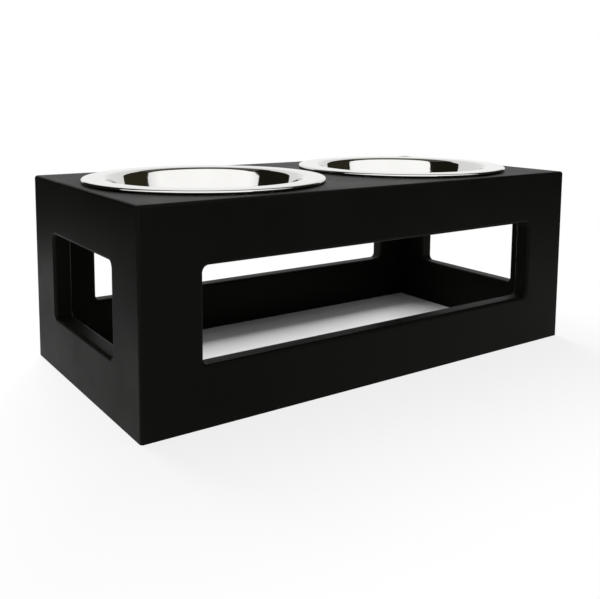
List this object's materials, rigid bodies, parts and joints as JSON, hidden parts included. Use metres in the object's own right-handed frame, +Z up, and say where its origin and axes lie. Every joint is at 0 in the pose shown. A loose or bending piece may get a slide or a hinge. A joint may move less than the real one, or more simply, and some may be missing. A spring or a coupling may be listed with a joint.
{
  "type": "elevated pet bowl stand",
  "caption": "Raised pet feeder: a low black box stand of mitred boards with a rounded window in each wall, and steel bowls with wide flat rims that hang in round holes in its top and lift out.",
  "frame": {"origin": "centre of the stand's footprint, on the floor that it stands on", "axes": "+X along the length of the stand to the right as seen from the front, +Y from the front wall to the back wall, +Z up"},
  "size_m": [0.55, 0.2794, 0.2075],
  "materials": {
    "black_paint": "satin black paint over filled and sanded boards",
    "spline_wood": "bare glued strip, hidden in the mitre",
    "polished_steel": "mirror polished stainless steel"
  },
  "bodies": {
    "stand": {"top_panel": "black_paint", "front_panel": "black_paint", "back_panel": "black_paint", "left_panel": "black_paint", "right_panel": "black_paint", "front_left_spline": "spline_wood", "front_right_spline": "spline_wood", "back_left_spline": "spline_wood", "back_right_spline": "spline_wood", "top_front_spline": "spline_wood", "top_back_spline": "spline_wood", "top_left_spline": "spline_wood", "top_right_spline": "spline_wood"},
    "left_bowl": {"left_bowl": "polished_steel"},
    "right_bowl": {"right_bowl": "polished_steel"}
  },
  "joints": [
    {"name": "left_bowl_lift", "type": "slide", "parent": "stand", "child": "left_bowl", "axis": [0, 0, 1], "range_m": [0, 0.1]},
    {"name": "right_bowl_lift", "type": "slide", "parent": "stand", "child": "right_bowl", "axis": [0, 0, 1], "range_m": [0, 0.1]}
  ]
}
